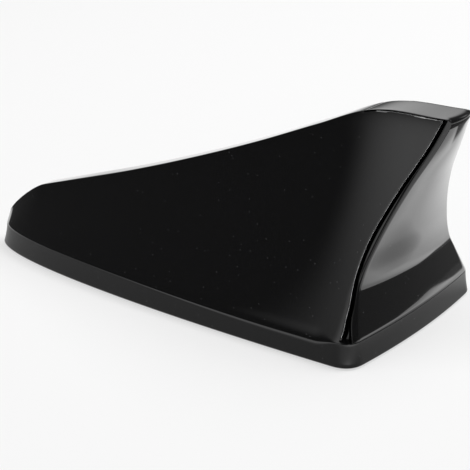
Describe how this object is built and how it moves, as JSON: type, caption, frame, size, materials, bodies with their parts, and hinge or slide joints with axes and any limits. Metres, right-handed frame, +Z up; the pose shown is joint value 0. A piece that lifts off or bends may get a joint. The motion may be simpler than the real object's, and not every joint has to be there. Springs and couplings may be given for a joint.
{
  "type": "shark fin aerial",
  "caption": "Glossy black shark fin roof aerial: a low nose that rises to a flat plateau over a hollow tail panel, on a rounded triangular base with an adhesive pad.",
  "frame": {"origin": "on the adhesive face that sits on the roof, in the middle of the base's length and width", "axes": "+X from the nose towards the tail, +Y to the side, +Z up off the roof"},
  "size_m": [0.1727, 0.0804, 0.0674],
  "materials": {
    "fin_cover": "high-gloss moulded black",
    "tail_panel": "high-gloss moulded black",
    "base_plate": "fine moulded texture",
    "adhesive_pad": "closed-cell foam with an adhesive face",
    "cover_seal": "matt rubber",
    "cable_grommet": "satin rubber",
    "ground_plate": "tinned sheet",
    "earth_spring": "rolled spring strip",
    "circuit_board": "green solder mask",
    "shield_can": "tinned sheet",
    "amplifier_chip": "moulded package",
    "chip_components": "ceramic with tinned ends",
    "supply_choke": "ferrite",
    "buffer_capacitor": "drawn can",
    "lead_socket": "gold-plated",
    "radiator_carrier": "natural moulded plastic",
    "radiator_plate": "rolled sheet",
    "coil_former": "natural moulded plastic",
    "radiator_coil": "enamelled copper wire",
    "feed_clip": "rolled spring strip",
    "base_screws": "zinc-plated",
    "board_screws": "zinc-plated",
    "carrier_screws": "zinc-plated"
  },
  "bodies": {
    "root": {"fin_cover": "fin_cover", "tail_panel": "tail_panel", "base_plate": "base_plate", "adhesive_pad": "adhesive_pad", "cover_seal": "cover_seal", "cable_grommet": "cable_grommet", "ground_plate": "ground_plate", "earth_spring": "earth_spring", "circuit_board": "circuit_board", "shield_can": "shield_can", "amplifier_chip": "amplifier_chip", "chip_components": "chip_components", "supply_choke": "supply_choke", "buffer_capacitor": "buffer_capacitor", "lead_socket": "lead_socket", "radiator_carrier": "radiator_carrier", "radiator_plate": "radiator_plate", "coil_former": "coil_former", "radiator_coil": "radiator_coil", "feed_clip": "feed_clip", "base_screws": "base_screws", "board_screws": "board_screws", "carrier_screws": "carrier_screws"}
  },
  "joints": []
}
